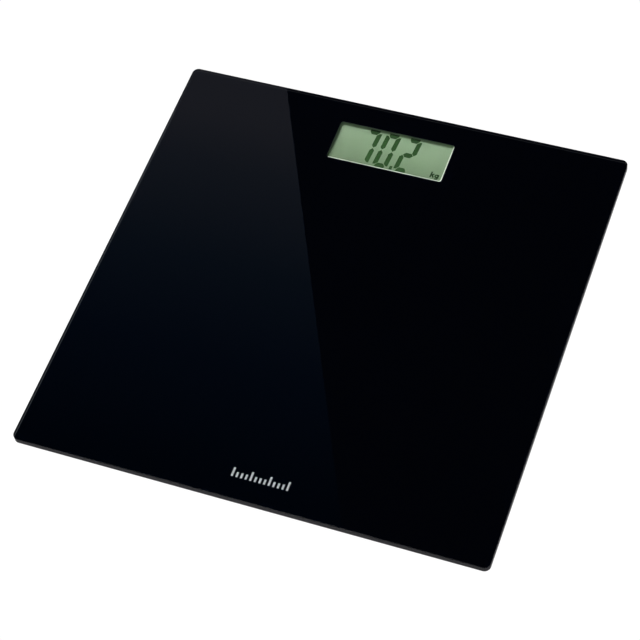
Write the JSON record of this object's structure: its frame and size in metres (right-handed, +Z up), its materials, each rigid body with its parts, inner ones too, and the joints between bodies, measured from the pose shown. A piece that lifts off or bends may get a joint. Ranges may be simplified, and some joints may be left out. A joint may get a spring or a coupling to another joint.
{
  "type": "digital bathroom scale",
  "caption": "Square glass digital bathroom scale with a black printed underside, a display window near one edge, load-cell feet, a unit button and a battery door underneath.",
  "frame": {"origin": "on the floor, under the middle of the platform", "axes": "+Z up, +Y from the heels towards the display's edge, +X to the user's right"},
  "size_m": [0.3, 0.3, 0.0226],
  "materials": {
    "clear_glass": "clear, polished edge",
    "black_print": "black print fired under the glass",
    "white_foam": "double-sided foam tape",
    "housing_plastic": "fine moulded texture",
    "bezel_plastic": "pale grey-green, smooth",
    "display_glass": "grey-green liquid crystal",
    "zebra_rubber": "layered silicone",
    "board_laminate": "green solder mask",
    "chip_resin": "black resin blob",
    "switch_plastic": "moulded",
    "plunger_plastic": "moulded",
    "button_rubber": "matt",
    "plated_steel": "nickel plated",
    "cell_steel": "stamped and plated",
    "gauge_silicone": "white silicone coat",
    "foot_plastic": "moulded",
    "cap_plastic": "moulded",
    "pad_rubber": "matt, anti-slip",
    "lead_pvc": "flat three-core lead",
    "duct_plastic": "extruded"
  },
  "bodies": {
    "platform": {"glass_platform": "clear_glass", "printed_backing": "black_print", "display_bezel": "bezel_plastic", "lcd_panel": "display_glass", "zebra_strip": "zebra_rubber", "circuit_board": "board_laminate", "chip_blob": "chip_resin", "tact_switch": "switch_plastic", "coin_cell": "plated_steel", "battery_contact_positive": "plated_steel", "battery_contact_negative": "plated_steel", "display_housing": "housing_plastic", "housing_tape": "white_foam", "housing_cover": "housing_plastic", "foot_tape_front_left": "white_foam", "foot_tape_front_right": "white_foam", "foot_tape_back_left": "white_foam", "foot_tape_back_right": "white_foam", "foot_base_front_left": "foot_plastic", "foot_base_front_right": "foot_plastic", "foot_base_back_left": "foot_plastic", "foot_base_back_right": "foot_plastic", "load_cell_front_left": "cell_steel", "load_cell_front_right": "cell_steel", "load_cell_back_left": "cell_steel", "load_cell_back_right": "cell_steel", "strain_gauge_front_left": "gauge_silicone", "strain_gauge_front_right": "gauge_silicone", "strain_gauge_back_left": "gauge_silicone", "strain_gauge_back_right": "gauge_silicone", "sensor_lead_front_left": "lead_pvc", "sensor_lead_front_right": "lead_pvc", "sensor_lead_back_left": "lead_pvc", "sensor_lead_back_right": "lead_pvc", "lead_duct_front_left": "duct_plastic", "lead_duct_front_right": "duct_plastic", "lead_duct_back_left": "duct_plastic", "lead_duct_back_right": "duct_plastic", "board_screw_front_left": "plated_steel", "board_screw_front_right": "plated_steel", "board_screw_back_left": "plated_steel", "board_screw_back_right": "plated_steel", "cover_screw_front_left": "plated_steel", "cover_screw_front_right": "plated_steel", "cover_screw_back_left": "plated_steel", "cover_screw_back_right": "plated_steel"},
    "foot_front_left": {"foot_cap_front_left": "cap_plastic", "foot_pad_front_left": "pad_rubber"},
    "foot_front_right": {"foot_cap_front_right": "cap_plastic", "foot_pad_front_right": "pad_rubber"},
    "foot_back_left": {"foot_cap_back_left": "cap_plastic", "foot_pad_back_left": "pad_rubber"},
    "foot_back_right": {"foot_cap_back_right": "cap_plastic", "foot_pad_back_right": "pad_rubber"},
    "button": {"unit_button": "button_rubber", "tact_plunger": "plunger_plastic"},
    "door": {"battery_door": "housing_plastic"}
  },
  "joints": [
    {"name": "foot_travel_front_left", "type": "slide", "parent": "platform", "child": "foot_front_left", "axis": [0, 0, 1], "range_m": [0, 0.0006], "stiffness_N_per_m": 5000, "springref_m": -0.0016, "deforming": ["load_cell_front_left"]},
    {"name": "foot_travel_front_right", "type": "slide", "parent": "platform", "child": "foot_front_right", "axis": [0, 0, 1], "range_m": [0, 0.0006], "stiffness_N_per_m": 5000, "springref_m": -0.0016, "deforming": ["load_cell_front_right"]},
    {"name": "foot_travel_back_left", "type": "slide", "parent": "platform", "child": "foot_back_left", "axis": [0, 0, 1], "range_m": [0, 0.0006], "stiffness_N_per_m": 5000, "springref_m": -0.0016, "deforming": ["load_cell_back_left"]},
    {"name": "foot_travel_back_right", "type": "slide", "parent": "platform", "child": "foot_back_right", "axis": [0, 0, 1], "range_m": [0, 0.0006], "stiffness_N_per_m": 5000, "springref_m": -0.0016, "deforming": ["load_cell_back_right"]},
    {"name": "unit_button_press", "type": "slide", "parent": "platform", "child": "button", "axis": [0, 0, 1], "range_m": [0, 0.00035], "stiffness_N_per_m": 4500},
    {"name": "battery_door_hinge", "type": "hinge", "parent": "platform", "child": "door", "pos_m": [0, 0.0981, 0.0062], "axis": [1, 0, 0], "range_deg": [0, 85]}
  ]
}
